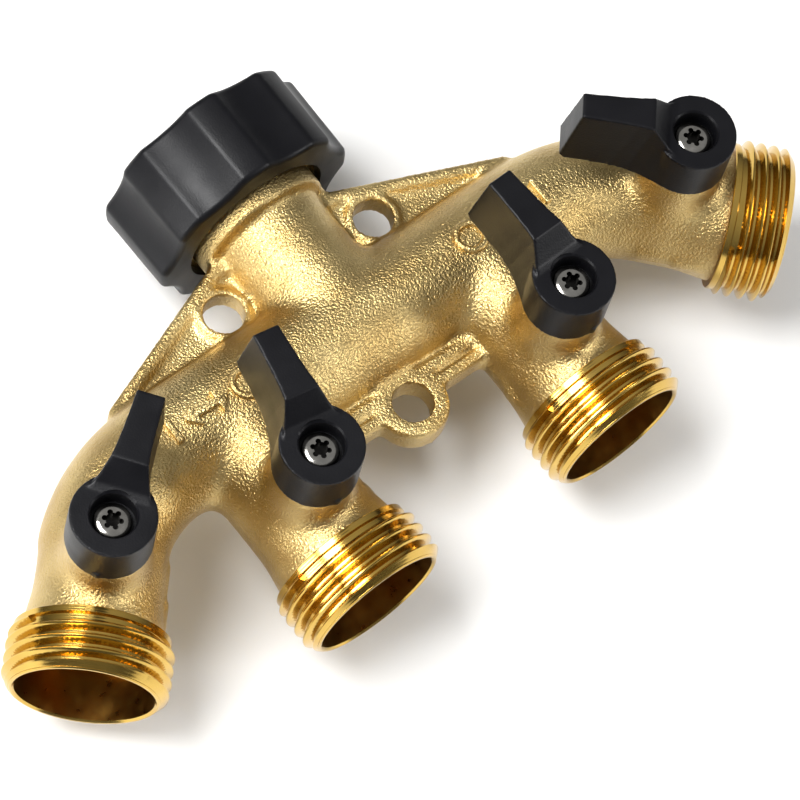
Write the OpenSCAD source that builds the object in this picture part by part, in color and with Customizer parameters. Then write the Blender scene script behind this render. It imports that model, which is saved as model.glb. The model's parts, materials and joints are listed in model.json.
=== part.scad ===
// Four-way brass hose splitter with quarter-turn ball valves.
// It lies flat: X runs along the header, +Y points out of the inlet, +Z is the lever side.
// The origin is the centre of the inlet nut's open face. Outlets are numbered from -X to +X.

/* [Layout] */
// Distance from the inlet face back to the axis of the header tube
header_back = 42.7; // [42:0.1:46]
// Distance from the middle of the header to an inner outlet leg
inner_leg_x = 26; // [25:0.5:28]
// Distance from the inlet face back to the mouths of the inner outlets
inner_mouth_back = 82.8; // [82:0.2:88]
// Distance from the middle of the header to where the axes of the header and an outer leg cross
bend_x = 49.6; // [49:0.2:54]
// Distance from that crossing to the outer leg's mouth
outer_leg_len = 35.3; // [35:0.1:38]
// Angle of an outer leg away from the inner ones
outer_splay = 44; // [40:1:46]
// Radius of the bend of an outer leg, at its centre line
bend_r = 28; // [26:0.5:28]

/* [Tubes] */
// Outer diameter of the header tube
header_od = 21; // [20.8:0.1:21.6]
// Outer diameter of the outlet legs
leg_od = 20.6; // [20.2:0.1:21]
// Outer diameter of the neck under the inlet nut
neck_od = 20.4; // [20:0.1:20.6]
// Diameter of the waterway in the header
header_bore = 13; // [12.5:0.5:13.5]
// Diameter of the waterway that leads to each valve
leg_bore = 11; // [10:0.5:11]

/* [Hose thread] */
// Outside diameter of the outlet thread
thread_od = 27; // [26.8:0.1:27.2]
// Pitch of the thread, 11.5 turns to the inch
thread_pitch = 2.209; // [2.2:0.001:2.22]
// Depth of the thread
thread_depth = 1.4; // [1.2:0.1:1.4]
// Machined length of an outlet
thread_len = 10.5; // [10.5:0.1:11]
// Diameter of an outlet's mouth
mouth_bore = 22.5; // [22:0.1:22.6]

/* [Valves] */
// Distance from an outlet's mouth back to its valve stem
stem_back = 20.3; // [20:0.1:20.5]
// Diameter of the valve ball
ball_d = 14; // [13.8:0.1:14]
// Diameter of the hole through the ball
ball_bore = 9.5; // [8.5:0.5:9.5]
// Diameter of the valve stem
stem_d = 6; // [5.6:0.2:6]
// Height of the lever's hub face over the plane of the legs
hub_top = 26.2; // [26:0.1:27]
// How far past its leg's line each lever stands when its valve is open, in degrees
open_past = [9, 9, 2, 4];

/* [Lever] */
// Diameter of the lever's hub
hub_d = 14; // [13.6:0.1:14.4]
// Reach of the lever from the stem's axis
lever_reach = 21.6; // [20:0.2:21.6]
// Width of the lever's grip near its tip
grip_w = 5.8; // [5.6:0.1:6.4]

/* [Inlet nut] */
// Length of the nut
nut_len = 16.5; // [16.5:0.1:17]
// Diameter over the nut's lobes at its open face
nut_od = 39.4; // [38.6:0.1:39.6]
// Number of lobes round the nut
nut_lobes = 8; // [6:1:10]

/* [Mounting holes] */
// Diameter of the three screw holes
hole_d = 7; // [6:0.1:7.2]
// Distance from the middle to each rear hole
rear_hole_x = 15.9; // [15.9:0.1:16.4]
// Distance from the inlet face back to the rear holes
rear_hole_back = 28; // [27.6:0.1:28.2]
// Distance from the inlet face back to the front hole
front_hole_back = 58.7; // [58.5:0.1:59]
// Thickness of the webs
web_t = 3.2; // [3:0.1:3.4]

/* [Hidden] */
$fn = 64;
OUTLETS = [1, 2, 3, 4];

BRASS = "#c8a55c";
TURNED_BRASS = "#d9a441";
BLACK_PLASTIC = "#26262b";
STEEL = "#b9bcc0";
PTFE = "#f1f0ea";
RUBBER = "#1a1a1a";

// running gap between pieces that turn on each other, and between pieces of one body
fit = 0.05;
gap = 0.3;
seam = 0.02;

header_r = header_od / 2;
leg_r = leg_od / 2;
neck_r = neck_od / 2;
crest_r = thread_od / 2;
root_r = crest_r - thread_depth;
ball_r = ball_d / 2;
stem_r = stem_d / 2;

// the bends join the header at bend_start and the outer legs at bend_end from their mouths
bend_tangent = bend_r * tan(outer_splay / 2);
bend_start = bend_x - bend_tangent;
bend_end = outer_leg_len - bend_tangent;
bend_od = (header_od + leg_od) / 2;
bend_bore = (header_bore + leg_bore) / 2;

// places along a leg, measured back from its mouth
mouth_depth = thread_len - 1.6;
cavity_r = 8.25;
shoulder_back = stem_back + ball_r - 0.1;
seat_len = 2.8;
retainer_len = 3.2;
retainer_back = stem_back - ball_r + 0.1 - retainer_len;

// heights along a valve stem
pocket_r = 4.1;
pocket_top = 9.6;
boss_r = 6.6;
boss_top = hub_top - 9.3;
hub_bottom = boss_top + gap;
head_top = hub_top - 1.8;
head_h = 1.8;
head_r = 3.1;
lever_floor = 0.9;
stem_top = head_top - head_h - lever_floor;
drive_w = 4.2;
tang_w = 3;
tang_bottom = ball_r - 1.7;

// the nut and the neck's end inside it, as distances back from the inlet face
bead_r = 12.3;
bead_back = 19.2;
bead_front = 15;
tail_r = 9.6;
tail_front = 9.4;
clip_back = 12;
clip_w = 1.2;
insert_r = 16.4;
insert_floor_back = 12.4;
insert_back = 14.6;
nut_hole_r = 13.7;

// mouth position and outward direction of each outlet
function side(i) = i <= 2 ? -1 : 1;
function is_outer(i) = i == 1 || i == 4;
function leg_turn(i) = is_outer(i) ? side(i) * outer_splay : 0;
function mouth(i) = is_outer(i)
    ? [side(i) * (bend_x + outer_leg_len * sin(outer_splay)),
       -header_back - outer_leg_len * cos(outer_splay), 0]
    : [side(i) * inner_leg_x, -inner_mouth_back, 0];
function leg_len(i) = is_outer(i) ? outer_leg_len : inner_mouth_back - header_back;
function lever_turn(i) = side(i) * open_past[i - 1];

// puts its children in an outlet's own frame: the mouth at the origin, Z pointing out of it
module at_outlet(i) {
    translate(mouth(i)) rotate([0, 0, leg_turn(i)]) rotate([90, 0, 0]) children();
}

// puts its children on a valve's stem axis, with Y pointing back along the leg, plus the lever's turn
module at_stem(i, turned = true) {
    translate(mouth(i)) rotate([0, 0, leg_turn(i)]) translate([0, stem_back, 0])
        rotate([0, 0, turned ? lever_turn(i) : 0]) children();
}

// a cylinder along Y from one distance behind the inlet face to another
module along_inlet(back, front, r) {
    translate([0, -back, 0]) rotate([-90, 0, 0]) cylinder(h = back - front, r = r);
}

// outline of a hose thread's turned end, from its mouth back: a lead land, crests and a base land,
// behind which the casting narrows down to its leg
crest_flat = 0.32;
flank = 0.75;
lead_len = 2.1;
base_len = 1.3;
base_r = crest_r - 0.8;
crest_count = 3;
collar_r = 11.3;
collar_len = 7.7;
function crest_back(k) = lead_len + 0.6 + flank + crest_flat / 2 + k * thread_pitch;
function crest_points(k, r_crest, r_root) = [
    [r_root, -(crest_back(k) - crest_flat / 2 - flank)],
    [r_crest, -(crest_back(k) - crest_flat / 2)],
    [r_crest, -(crest_back(k) + crest_flat / 2)],
    [r_root, -(crest_back(k) + crest_flat / 2 + flank)]];
function outlet_outline() = concat(
    [[0, 0], [crest_r - 1.1, 0], [crest_r - 0.6, -0.5], [crest_r - 0.6, -lead_len],
     [root_r, -lead_len - 0.4]],
    [for (k = [0 : crest_count - 1]) each crest_points(k, crest_r, root_r)],
    [[root_r, -(thread_len - base_len - 0.2)], [base_r, -(thread_len - base_len)],
     [base_r, -thread_len], [collar_r, -thread_len], [leg_r - 0.1, -(thread_len + collar_len)],
     [0, -(thread_len + collar_len)]]);

module outlet_end(i) {
    at_outlet(i) rotate_extrude($fn = 96) polygon(outlet_outline());
}

// straight run of a leg, which starts a little inside its bend or in the header
function run_len(i) = is_outer(i) ? bend_end + 1 : leg_len(i);
module leg(i) {
    at_outlet(i) translate([0, 0, -run_len(i)]) cylinder(h = run_len(i) - thread_len - 1, r = leg_r);
}

// bend of an outer leg as a bent rod, which starts a little inside the header
bend_overlap = 2;
module bend(s, r) {
    translate([s * bend_start, -header_back - bend_r, 0])
        rotate([0, 0, s > 0 ? 90 - outer_splay : 90 - bend_overlap])
        rotate_extrude(angle = outer_splay + bend_overlap) translate([bend_r, 0]) circle(r = r);
}

// rod along the header, between its bends
module along_header(r) {
    translate([-bend_start, -header_back, 0]) rotate([0, 90, 0]) cylinder(h = 2 * bend_start, r = r);
}

// boss round a valve stem, spreading where it grows out of its leg
flare_bottom = 3;
flare_top = 13;
flare_r = 8.6;
module stem_boss(i) {
    at_stem(i, false) rotate_extrude()
        polygon([[0, flare_bottom], [flare_r, flare_bottom], [boss_r, flare_top], [boss_r, boss_top], [0, boss_top]]);
}

// flat web between the neck and the header, with a rib along its outer edge and round its hole
web_tip_x = 42.5;
web_tip_back = 31.4;
web_root_back = 19.8;
rib_t = web_t + 1.4;
rib_w = 2.4;
module web_outline(s) {
    polygon([[0, -web_root_back], [s * (neck_r + 2.6), -web_root_back], [s * web_tip_x, -web_tip_back],
             [s * web_tip_x, -header_back], [0, -header_back]]);
}

module web(s) {
    translate([0, 0, -web_t / 2]) linear_extrude(web_t) web_outline(s);
    translate([0, 0, -rib_t / 2]) linear_extrude(rib_t) intersection() {
        web_outline(s);
        polygon([[s * (neck_r + 2.6), -web_root_back], [s * web_tip_x, -web_tip_back],
                 [s * web_tip_x, -web_tip_back - rib_w], [s * (neck_r + 1), -web_root_back - rib_w],
                 [s * (neck_r - 3), -web_root_back - rib_w], [s * (neck_r - 3), -web_root_back]]);
    }
    translate([s * rear_hole_x, -rear_hole_back, -rib_t / 2]) cylinder(h = rib_t, d = hole_d + 3);
}

// ear in front of the header: a bar between the inner legs and a ring round the hole
bar_back = 56.7;
bar_w = 4.6;
ear_r = 6.3;
ear_t = 5;
module ear() {
    translate([-inner_leg_x, -bar_back - bar_w / 2, -ear_t / 2]) cube([2 * inner_leg_x, bar_w, ear_t]);
    translate([-inner_leg_x, -bar_back - 1, -web_t / 2])
        cube([2 * inner_leg_x, bar_back - header_back, web_t]);
    translate([0, -front_hole_back, -ear_t / 2]) cylinder(h = ear_t, r = ear_r);
}

// cast marks on the arms: a ring for open, a bar for shut and a two-headed arrow between them
mark_h = 0.5;
mark_in = 23.5;
mark_mid = 31.8;
mark_out = 37;
module marks(s) {
    intersection() {
        linear_extrude(header_r + 5) {
            translate([s * mark_in, -header_back]) difference() {
                circle(r = 2.1);
                circle(r = 1.2);
            }
            translate([s * mark_out, -header_back]) square([0.9, 4.2], center = true);
            translate([s * mark_mid, -header_back]) {
                square([3, 0.9], center = true);
                for (d = [-1, 1]) translate([d * 1.4, 0])
                    polygon([[0, -1.5], [d * 1.6, 0], [0, 1.5]]);
            }
        }
        along_header(header_r + mark_h);
    }
}

module casting_outside() {
    along_header(header_r);
    for (s = [-1, 1]) {
        bend(s, bend_od / 2);
        web(s);
        marks(s);
    }
    for (i = OUTLETS) {
        leg(i);
        outlet_end(i);
        stem_boss(i);
    }
    ear();
    along_inlet(header_back, tail_front, tail_r);
    along_inlet(header_back, bead_back - 0.5, neck_r);
    along_inlet(bead_back, bead_front, bead_r);
}

// waterways, valve chambers and stem holes
neck_bore_r = 7;
module casting_inside() {
    along_header(header_bore / 2);
    for (s = [-1, 1]) bend(s, bend_bore / 2);
    along_inlet(header_back, tail_front - 1, neck_bore_r);
    for (i = OUTLETS) {
        at_outlet(i) {
            translate([0, 0, -run_len(i)]) cylinder(h = run_len(i), d = leg_bore);
            translate([0, 0, -shoulder_back]) cylinder(h = shoulder_back, r = cavity_r);
            translate([0, 0, -mouth_depth]) cylinder(h = mouth_depth + 1, d = mouth_bore);
        }
        at_stem(i, false) {
            cylinder(h = boss_top + 1, r = stem_r + fit);
            cylinder(h = pocket_top, r = pocket_r);
        }
    }
}

module manifold_casting() {
    color(BRASS) difference() {
        casting_outside();
        casting_inside();
        for (s = [-1, 1]) translate([s * rear_hole_x, -rear_hole_back, -5]) cylinder(h = 10, d = hole_d);
        translate([0, -front_hole_back, -5]) cylinder(h = 10, d = hole_d);
        // groove for the swivel clip
        difference() {
            along_inlet(clip_back, clip_back - clip_w, tail_r + 1);
            along_inlet(clip_back + 1, clip_back - clip_w - 1, tail_r - 1);
        }
    }
}

// split ring that keeps the nut on the neck
clip_r = tail_r + 0.9;
module swivel_clip() {
    color(STEEL) difference() {
        along_inlet(clip_back - seam, clip_back - clip_w + seam, clip_r);
        along_inlet(clip_back + 1, clip_back - clip_w - 1, tail_r - 1 + seam);
        translate([-1.2, -clip_back - 1, 0]) cube([2.4, clip_w + 2, clip_r + 1]);
    }
}

// outline of the grip: lobes with shallow hollows between them
lobe_dip = 1.5;
lobe_turn = -7;
module lobed_outline(r) {
    hollow_r = 14;
    difference() {
        circle(r = r, $fn = 96);
        for (k = [0 : nut_lobes - 1]) rotate((k + 0.5) * 360 / nut_lobes + lobe_turn)
            translate([r + hollow_r - lobe_dip, 0]) circle(r = hollow_r, $fn = 96);
    }
}

grip_edge = 1;
grip_draft = 0.3;
module swivel_grip() {
    r = nut_od / 2;
    color(BLACK_PLASTIC) difference() {
        intersection() {
            translate([0, -nut_len, 0]) rotate([-90, 0, 0]) linear_extrude(nut_len) lobed_outline(r);
            rotate([90, 0, 0]) rotate_extrude($fn = 96)
                polygon([[0, 0], [r - grip_edge, 0], [r, grip_edge], [r - grip_draft, nut_len - grip_edge],
                         [r - grip_draft - grip_edge, nut_len], [0, nut_len]]);
        }
        along_inlet(insert_back, -1, insert_r + seam);
        along_inlet(nut_len + 1, 0, nut_hole_r);
    }
}

// threaded metal ring inside the grip, with a wider groove behind its thread that holds the washer
insert_crest_r = 12.1;
insert_root_r = insert_crest_r + 1.35;
insert_thread_len = 7;
insert_turns = 3;
root_flat = 0.3;
insert_outline = concat(
    [[insert_crest_r, 0]],
    [for (k = [insert_turns : -1 : 1])
        let (a = insert_thread_len - k * thread_pitch)
        each [[insert_crest_r, -a], [insert_root_r, -a - flank], [insert_root_r, -a - flank - root_flat],
              [insert_crest_r, -a - 2 * flank - root_flat]]],
    [[insert_crest_r, -insert_thread_len], [insert_root_r, -insert_thread_len],
     [insert_root_r, -insert_floor_back], [tail_r + fit * 2, -insert_floor_back],
     [tail_r + fit * 2, -insert_back], [insert_r, -insert_back], [insert_r, 0]]);
module swivel_insert() {
    color(TURNED_BRASS) rotate([-90, 0, 0]) rotate_extrude($fn = 96) polygon(insert_outline);
}

washer_r = 12.7;
washer_t = 2.2;
washer_gap = 0.15;
module inlet_washer() {
    color(RUBBER) difference() {
        along_inlet(tail_front - washer_gap, tail_front - washer_gap - washer_t, washer_r);
        along_inlet(tail_front + 1, 0, neck_bore_r + 0.6);
    }
}

// soft ring that seals on the ball, with its hollow face at the origin's side of Z
seat_bore = ball_bore + 0.9;
module seat() {
    color(PTFE) difference() {
        translate([0, 0, ball_r - 0.1 - seat_len]) cylinder(h = seat_len - seam, r = cavity_r - seam);
        sphere(r = ball_r + seam, $fn = 96);
        cylinder(h = ball_r + 1, d = seat_bore);
    }
}

module upstream_seat(i) {
    at_outlet(i) translate([0, 0, -stem_back]) rotate([180, 0, 0]) seat();
}

module downstream_seat(i) {
    at_outlet(i) translate([0, 0, -stem_back]) seat();
}

// ring screwed in from the mouth, with two slots for the spanner
slot_w = 2;
module seat_retainer(i) {
    color(TURNED_BRASS) at_outlet(i) translate([0, 0, -retainer_back - retainer_len + seam]) difference() {
        cylinder(h = retainer_len, r = cavity_r - seam);
        translate([0, 0, -1]) cylinder(h = retainer_len + 2, d = seat_bore + 0.6);
        translate([-cavity_r, -slot_w / 2, retainer_len - 1]) cube([2 * cavity_r, slot_w, 2]);
    }
}

module ball(i) {
    color(STEEL) at_stem(i) difference() {
        sphere(r = ball_r, $fn = 96);
        rotate([90, 0, 0]) cylinder(h = ball_d + 2, d = ball_bore, center = true);
        translate([-tang_w / 2 - seam, -ball_r, tang_bottom - seam])
            cube([tang_w + 2 * seam, ball_d, ball_d]);
    }
}

// valve stem: tang, flange, sealing part with two grooves, and a square end for the lever
flange_r = pocket_r - 0.2;
flange_bottom = ball_r + 0.3;
washer_h = 0.8;
flange_top = pocket_top - washer_h - 2 * seam;
groove_r = stem_r - 0.8;
groove_h = 1.5;
grooves = [11, 13.6];
screw_r = 1.5;
screw_depth = 6;
module stem(i) {
    color(TURNED_BRASS) at_stem(i) difference() {
        union() {
            intersection() {
                translate([-tang_w / 2, -ball_r + 2.4, tang_bottom]) cube([tang_w, ball_d - 4.8, 4]);
                cylinder(h = flange_top, r = flange_r);
            }
            translate([0, 0, flange_bottom]) cylinder(h = flange_top - flange_bottom, r = flange_r);
            translate([0, 0, flange_bottom]) cylinder(h = boss_top - flange_bottom, r = stem_r);
            translate([-drive_w / 2, -drive_w / 2, boss_top - 1])
                cube([drive_w, drive_w, stem_top - boss_top + 1]);
        }
        for (z = grooves) translate([0, 0, z]) difference() {
            cylinder(h = groove_h, r = stem_r + 1);
            translate([0, 0, -1]) cylinder(h = groove_h + 2, r = groove_r);
        }
        translate([0, 0, stem_top - screw_depth]) cylinder(h = screw_depth + 1, r = screw_r + seam);
    }
}

module stem_thrust_washer(i) {
    color(PTFE) at_stem(i) translate([0, 0, flange_top + seam]) difference() {
        cylinder(h = washer_h, r = flange_r);
        translate([0, 0, -1]) cylinder(h = washer_h + 2, r = stem_r + seam);
    }
}

module stem_o_rings(i) {
    ring_r = (stem_r + fit - 0.01 - groove_r - seam) / 2;
    color(RUBBER) at_stem(i) for (z = grooves) translate([0, 0, z + groove_h / 2])
        rotate_extrude() translate([groove_r + seam + ring_r, 0]) circle(r = ring_r, $fn = 32);
}

// lever: a hub with a counterbore and a tall grip that narrows upwards and outwards
grip_top = hub_top + 4.1;
grip_bottom = hub_bottom - 0.2;
counterbore_r = 3.75;
slope_foot = 3.1;
slope_head = 7.7;
module grip_side() {
    polygon([[0, hub_bottom], [hub_d / 2, grip_bottom], [lever_reach - 1, grip_bottom],
             [lever_reach, grip_bottom + 1], [lever_reach - 2, grip_top], [slope_head, grip_top],
             [slope_head - 1.6, grip_top - 1.3], [slope_foot + 0.6, hub_top + 0.5], [slope_foot, hub_top],
             [0, hub_top]]);
}

module grip_plan() {
    w = grip_w / 2;
    mirror_copy()
        polygon([[-1, 0], [hub_d / 2 - 0.1, 0], [hub_d / 2 - 1.8, 5.4], [w + 1.3, 8.6], [w + 0.3, 13],
                 [w, lever_reach], [-1, lever_reach]]);
}

module grip_section() {
    shoulder = 20;
    top_w = 3;
    mirror_copy() polygon([[-1, hub_bottom - 1], [hub_d / 2, hub_bottom - 1], [hub_d / 2, shoulder],
                           [top_w, grip_top + 0.5], [-1, grip_top + 0.5]]);
}

module mirror_copy() {
    children();
    mirror([1, 0]) children();
}

module lever(i) {
    color(BLACK_PLASTIC) at_stem(i) difference() {
        union() {
            translate([0, 0, hub_bottom])
                cylinder(h = hub_top - hub_bottom, r1 = hub_d / 2 + 0.2, r2 = hub_d / 2);
            intersection() {
                rotate([90, 0, 90]) linear_extrude(hub_d + 1, center = true) grip_side();
                translate([0, 0, grip_bottom - 1]) linear_extrude(20) grip_plan();
                translate([0, lever_reach + 1, 0]) rotate([90, 0, 0])
                    linear_extrude(lever_reach + 2) grip_section();
            }
        }
        translate([0, 0, head_top - head_h]) cylinder(h = 10, r = counterbore_r);
        translate([0, 0, stem_top - 1]) cylinder(h = 10, r = screw_r + 0.2);
        translate([-drive_w / 2 - seam, -drive_w / 2 - seam, hub_bottom - 1])
            cube([drive_w + 2 * seam, drive_w + 2 * seam, stem_top - hub_bottom + 1 + seam]);
    }
}

// pan-head screw with a six-lobed recess
recess_r = 1.7;
module lever_screw(i) {
    color(STEEL) at_stem(i) difference() {
        union() {
            translate([0, 0, head_top - head_h + seam]) cylinder(h = head_h - 0.5, r = head_r);
            translate([0, 0, head_top - 0.5 + seam])
                cylinder(h = 0.5 - seam, r1 = head_r, r2 = head_r - 0.9);
            translate([0, 0, stem_top - screw_depth + 0.5])
                cylinder(h = screw_depth + lever_floor, r = screw_r);
        }
        for (k = [0 : 2]) translate([0, 0, head_top - 1.2]) rotate([0, 0, k * 60])
            translate([-recess_r, -0.55, 0]) cube([2 * recess_r, 1.1, 2]);
        translate([0, 0, head_top - 1.2]) cylinder(h = 2, r = recess_r - 0.45);
    }
}

manifold_casting();
swivel_clip();
swivel_grip();
swivel_insert();
inlet_washer();
for (i = OUTLETS) {
    upstream_seat(i);
    downstream_seat(i);
    seat_retainer(i);
    ball(i);
    stem(i);
    stem_thrust_washer(i);
    stem_o_rings(i);
    lever(i);
    lever_screw(i);
}
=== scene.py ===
import json
import math

import bpy
from mathutils import Matrix, Vector


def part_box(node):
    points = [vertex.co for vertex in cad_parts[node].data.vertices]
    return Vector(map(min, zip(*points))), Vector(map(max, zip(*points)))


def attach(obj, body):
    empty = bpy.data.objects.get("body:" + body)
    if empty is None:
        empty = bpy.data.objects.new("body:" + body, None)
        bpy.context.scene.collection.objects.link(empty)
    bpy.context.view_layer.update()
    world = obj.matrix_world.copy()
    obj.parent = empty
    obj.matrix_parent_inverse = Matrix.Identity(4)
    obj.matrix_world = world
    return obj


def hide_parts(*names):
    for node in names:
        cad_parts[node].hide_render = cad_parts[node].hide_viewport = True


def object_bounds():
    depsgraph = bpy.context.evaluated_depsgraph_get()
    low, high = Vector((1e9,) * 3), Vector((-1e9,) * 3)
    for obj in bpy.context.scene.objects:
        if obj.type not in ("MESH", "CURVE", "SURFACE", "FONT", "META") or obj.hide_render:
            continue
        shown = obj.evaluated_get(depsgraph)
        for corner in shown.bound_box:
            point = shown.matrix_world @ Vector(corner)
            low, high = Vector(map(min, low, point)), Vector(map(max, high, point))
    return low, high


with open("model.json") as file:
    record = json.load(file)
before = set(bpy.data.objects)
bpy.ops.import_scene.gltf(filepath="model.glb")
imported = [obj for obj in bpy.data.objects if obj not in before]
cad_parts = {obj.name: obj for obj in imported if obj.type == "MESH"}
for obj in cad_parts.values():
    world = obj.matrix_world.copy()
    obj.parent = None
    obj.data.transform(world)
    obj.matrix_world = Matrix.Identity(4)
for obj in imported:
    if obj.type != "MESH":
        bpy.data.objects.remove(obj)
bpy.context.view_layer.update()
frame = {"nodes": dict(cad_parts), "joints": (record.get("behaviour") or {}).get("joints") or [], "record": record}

# Lengths are metres, written as millimetres times MM. The frame is the CAD's: +Z is the lever side,
# and +Y points out of the inlet.
MM = 0.001
OUTLETS = (1, 2, 3, 4)
X_AXIS, Y_AXIS, Z_AXIS = Vector((1, 0, 0)), Vector((0, 1, 0)), Vector((0, 0, 1))
mounts = {mount["name"]: mount for mount in frame["record"]["mounts"]}
joints = {joint["name"]: joint for joint in frame["joints"]}

# ---------------------------------------------------------------- sizes of the casting
HEADER_BACK = 42.7 * MM
HEADER_R = 10.5 * MM
LEG_R = 10.3 * MM
NECK_R = 10.2 * MM
BEND_R = 28 * MM
THREAD_MIDDLE = 5.819 * MM
THREAD_LEN = 10.5 * MM
COLLAR_R = 11.3 * MM
COLLAR_LEN = 7.7 * MM
BEAD_BACK = 19.2 * MM
BEAD_FRONT = 15 * MM
BEAD_R = 12.3 * MM
BOSS_LOW = 3 * MM
BOSS_WAIST = 13 * MM
BOSS_TOP = 16.9 * MM
BOSS_FOOT_R = 8.4 * MM
BOSS_R = 6.8 * MM
HOLE_R = mounts["front_hole"]["dims"]["r_mm"] * MM
FRONT_HOLE = mounts["front_hole"]["pos_m"][:2]
REAR_HOLE = (mounts["rear_holes"]["dims"]["spacing_x_mm"] / 2 * MM, mounts["rear_holes"]["pos_m"][1])

# ---------------------------------------------------------------- sizes of the hollow inside
HEADER_BORE_R = 6.5 * MM
ELBOW_BORE_R = 6.0 * MM
NECK_BORE_R = 7.0 * MM
LEG_BORE_R = 5.5 * MM
CHAMBER_R = 8.25 * MM
CHAMBER_BACK = 27.2 * MM
STEM_HOLE_R = 3.05 * MM
POCKET_R = 4.1 * MM
POCKET_TOP = 9.6 * MM


# ---------------------------------------------------------------- modelling helpers
def deselect_all():
    for piece in list(bpy.context.selected_objects):
        piece.select_set(False)


def pick(piece):
    """Makes a piece the only selected one and the active one."""
    deselect_all()
    piece.select_set(True)
    bpy.context.view_layer.objects.active = piece


def edit(piece):
    """Opens a piece in edit mode with all of it selected."""
    pick(piece)
    bpy.ops.object.mode_set(mode="EDIT")
    bpy.ops.mesh.select_all(action="SELECT")


def close_edit():
    bpy.ops.object.mode_set(mode="OBJECT")


def settle(piece):
    """Moves a piece's place and turn into its mesh, so its object sits at the origin."""
    pick(piece)
    bpy.ops.object.transform_apply(location=True, rotation=True, scale=True)


def tidy_shell(piece):
    """Merges doubles, closes any open end and turns all faces outwards."""
    edit(piece)
    bpy.ops.mesh.remove_doubles(threshold=0.002 * MM)
    bpy.ops.mesh.fill_holes(sides=0)
    bpy.ops.mesh.normals_make_consistent(inside=False)
    close_edit()


def apply_modifier(piece, kind, **settings):
    pick(piece)
    modifier = piece.modifiers.new(kind.title(), kind)
    for key, value in settings.items():
        setattr(modifier, key, value)
    bpy.ops.object.modifier_apply(modifier=modifier.name)


def combine(piece, other, operation):
    """Joins another solid to a piece, or cuts it away, and removes the other."""
    apply_modifier(piece, "BOOLEAN", object=other, operation=operation, solver="MANIFOLD")
    bpy.data.objects.remove(other)
    return piece


def join(pieces):
    """One object from several, which may overlap."""
    deselect_all()
    for piece in pieces:
        piece.select_set(True)
    bpy.context.view_layer.objects.active = pieces[0]
    bpy.ops.object.join()
    return pieces[0]


def named(piece, name):
    piece.name = name
    piece.data.name = name
    return piece


def rod(start, end, radius, sides=64):
    """A round bar from one point to another."""
    start, end = Vector(start), Vector(end)
    along = end - start
    deselect_all()
    bpy.ops.mesh.primitive_cylinder_add(vertices=sides, radius=radius, depth=along.length,
                                        location=(start + end) / 2,
                                        rotation=along.to_track_quat("Z", "Y").to_euler())
    piece = bpy.context.active_object
    settle(piece)
    return piece


def drawn_line(points):
    """A line through points in the XZ plane, drawn by pulling out one vertex after another."""
    deselect_all()
    bpy.ops.mesh.primitive_plane_add(size=MM)
    piece = bpy.context.active_object
    edit(piece)
    bpy.ops.mesh.merge(type="CENTER")
    corners = [Vector((x, 0, z)) for x, z in points]
    bpy.ops.transform.translate(value=corners[0])
    for before, after in zip(corners, corners[1:]):
        bpy.ops.mesh.extrude_vertices_move(TRANSFORM_OT_translate={"value": after - before})
    close_edit()
    return piece


def place(piece, origin, z_way, x_way=X_AXIS):
    """Puts a piece modelled round Z at an origin, with its Z and X turned to the ways given."""
    z_way = Vector(z_way).normalized()
    y_way = z_way.cross(x_way).normalized()
    turn = Matrix((y_way.cross(z_way), y_way, z_way)).transposed()
    piece.matrix_world = Matrix.Translation(origin) @ turn.to_4x4()
    settle(piece)
    return piece


def turned(outline, steps=96):
    """A lathe-turned solid: an outline of (radius, height) spun round Z and closed."""
    piece = drawn_line(outline)
    edit(piece)
    bpy.ops.mesh.spin(steps=steps, angle=2 * math.pi, center=(0, 0, 0), axis=(0, 0, 1))
    close_edit()
    tidy_shell(piece)
    return piece


def bent_rod(start, centre, angle, radius):
    """A rod bent round a vertical line through centre, from start, by an angle."""
    away = Vector(start) - Vector(centre)
    deselect_all()
    bpy.ops.mesh.primitive_circle_add(vertices=64, radius=radius, fill_type="NGON", location=start,
                                      rotation=away.cross(Z_AXIS).to_track_quat("Z", "Y").to_euler())
    piece = bpy.context.active_object
    settle(piece)
    edit(piece)
    bpy.ops.mesh.spin(steps=24, angle=angle, center=centre, axis=(0, 0, 1))
    close_edit()
    tidy_shell(piece)
    return piece


def plate(corners, low, high):
    """A flat plate with the corners given, between two heights."""
    deselect_all()
    bpy.ops.mesh.primitive_circle_add(vertices=len(corners), radius=MM, fill_type="NGON")
    piece = bpy.context.active_object
    for vertex, (x, y) in zip(piece.data.vertices, corners):
        vertex.co = (x, y, low)
    edit(piece)
    bpy.ops.mesh.extrude_region_move(TRANSFORM_OT_translate={"value": (0, 0, high - low)})
    close_edit()
    tidy_shell(piece)
    return piece


def slab(corner, opposite, low, high):
    """A plate with four square corners, from one of them to the opposite one."""
    (x, y), (far_x, far_y) = corner, opposite
    return plate([(x, y), (far_x, y), (far_x, far_y), (x, far_y)], low, high)


def helix(section, pitch, turns, steps=72):
    """A ridge of a closed section, given as (radius, height), wound round Z and closed at both ends."""
    piece = drawn_line(list(section) + [section[0]])
    edit(piece)
    bpy.ops.mesh.remove_doubles(threshold=0.002 * MM)
    close_edit()
    apply_modifier(piece, "SCREW", axis="Z", angle=2 * math.pi * turns, screw_offset=pitch * turns,
                   steps=int(steps * turns), render_steps=int(steps * turns), use_merge_vertices=False)
    tidy_shell(piece)
    return piece


def fade_ends(piece, low, high, run, core_r):
    """Lets a wound ridge sink into its core over its first and last stretch of height."""
    for vertex in piece.data.vertices:
        x, y, z = vertex.co
        share = max(0.0, min(1.0, (z - low) / run, (high - z) / run))
        radius = math.hypot(x, y)
        wanted = core_r + (radius - core_r) * share if radius > core_r else radius
        vertex.co.x, vertex.co.y = x * wanted / radius, y * wanted / radius


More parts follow.
